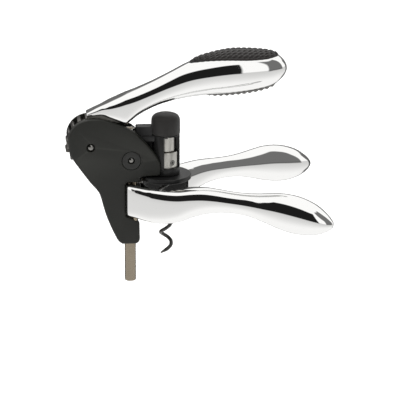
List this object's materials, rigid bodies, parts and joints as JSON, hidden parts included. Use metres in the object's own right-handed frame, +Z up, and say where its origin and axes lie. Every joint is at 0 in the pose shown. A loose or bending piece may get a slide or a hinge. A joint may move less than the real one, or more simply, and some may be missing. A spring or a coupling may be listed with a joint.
{
  "type": "lever corkscrew",
  "caption": "Lever corkscrew with a geared top lever that lifts a worm on a rack-driven carriage, and hinged clamp handles that grip the bottle's neck.",
  "frame": {"origin": "on the worm's axis, at the underside of the stop disc that lands on the bottle's lip", "axes": "+Z up along the worm's axis, +X from the body towards the grip ends, +Y to the back clamp; -Z points down into the bottle"},
  "size_m": [0.1609, 0.135, 0.1494],
  "materials": {
    "cover_front": "fine-textured matte black",
    "cover_back": "fine-textured matte black",
    "inner_frame": "moulded black, satin",
    "cover_pin": "bright domed head",
    "guide_button_front": "satin black",
    "guide_button_back": "satin black",
    "guide_screw_front": "bright",
    "guide_screw_back": "bright",
    "clamp_pin_front": "ground steel",
    "clamp_pin_back": "ground steel",
    "cover_screw_1": "zinc-plated steel",
    "cover_screw_2": "zinc-plated steel",
    "cover_screw_3": "zinc-plated steel",
    "rod_bush": "dull bronze",
    "stop_plate": "satin black",
    "stop_screw_1": "zinc-plated steel",
    "stop_screw_2": "zinc-plated steel",
    "worm_nut": "satin black nylon",
    "lever": "polished chrome plate",
    "lever_bush": "dull bronze",
    "grip_top": "ribbed soft rubber",
    "grip_bottom": "ribbed soft rubber",
    "carriage": "satin black casting",
    "rack": "milled steel",
    "guide_rod": "ground steel",
    "rod_nut": "zinc-plated steel",
    "cap": "matte rubber",
    "thrust_washer": "dull bronze",
    "worm": "black non-stick coating",
    "worm_chuck": "satin chrome plate",
    "chuck_screw": "dark steel",
    "spindle": "satin chrome plate",
    "spindle_nut": "zinc-plated steel",
    "clamp_front": "polished chrome plate",
    "clamp_back": "polished chrome plate",
    "jaw_pad_front": "matte rubber",
    "jaw_pad_back": "matte rubber"
  },
  "bodies": {
    "body": {"cover_front": "cover_front", "cover_back": "cover_back", "inner_frame": "inner_frame", "cover_pin": "cover_pin", "guide_button_front": "guide_button_front", "guide_button_back": "guide_button_back", "guide_screw_front": "guide_screw_front", "guide_screw_back": "guide_screw_back", "clamp_pin_front": "clamp_pin_front", "clamp_pin_back": "clamp_pin_back", "cover_screw_1": "cover_screw_1", "cover_screw_2": "cover_screw_2", "cover_screw_3": "cover_screw_3", "rod_bush": "rod_bush", "stop_plate": "stop_plate", "stop_screw_1": "stop_screw_1", "stop_screw_2": "stop_screw_2", "worm_nut": "worm_nut"},
    "lever": {"lever": "lever", "lever_bush": "lever_bush", "grip_top": "grip_top", "grip_bottom": "grip_bottom"},
    "carriage": {"carriage": "carriage", "rack": "rack", "guide_rod": "guide_rod", "rod_nut": "rod_nut", "cap": "cap", "thrust_washer": "thrust_washer"},
    "worm": {"worm": "worm", "worm_chuck": "worm_chuck", "chuck_screw": "chuck_screw", "spindle": "spindle", "spindle_nut": "spindle_nut"},
    "clamp_front": {"clamp_front": "clamp_front", "jaw_pad_front": "jaw_pad_front"},
    "clamp_back": {"clamp_back": "clamp_back", "jaw_pad_back": "jaw_pad_back"}
  },
  "joints": [
    {"name": "lever_hinge", "type": "hinge", "parent": "body", "child": "lever", "pos_m": [-0.0465, 0, 0.0262], "axis": [0, -1, 0], "range_deg": [0, 170]},
    {"name": "carriage_slide", "type": "slide", "parent": "body", "child": "carriage", "axis": [0, 0, 1], "range_m": [0, 0.0455]},
    {"name": "worm_turn", "type": "hinge", "parent": "carriage", "child": "worm", "pos_m": [0, 0, 0], "axis": [0, 0, 1], "range_deg": [0, 1160]},
    {"name": "clamp_front_hinge", "type": "hinge", "parent": "body", "child": "clamp_front", "pos_m": [-0.02, -0.0072, 0], "axis": [0, 0, 1], "range_deg": [-8, 23.5]},
    {"name": "clamp_back_hinge", "type": "hinge", "parent": "body", "child": "clamp_back", "pos_m": [-0.02, 0.0072, 0], "axis": [0, 0, -1], "range_deg": [-8, 23.5]}
  ],
  "couplings": [
    {"joint": "carriage_slide", "follows": "lever_hinge", "m_per_rad": 0.0153},
    {"joint": "worm_turn", "follows": "lever_hinge", "ratio": 6.818}
  ]
}
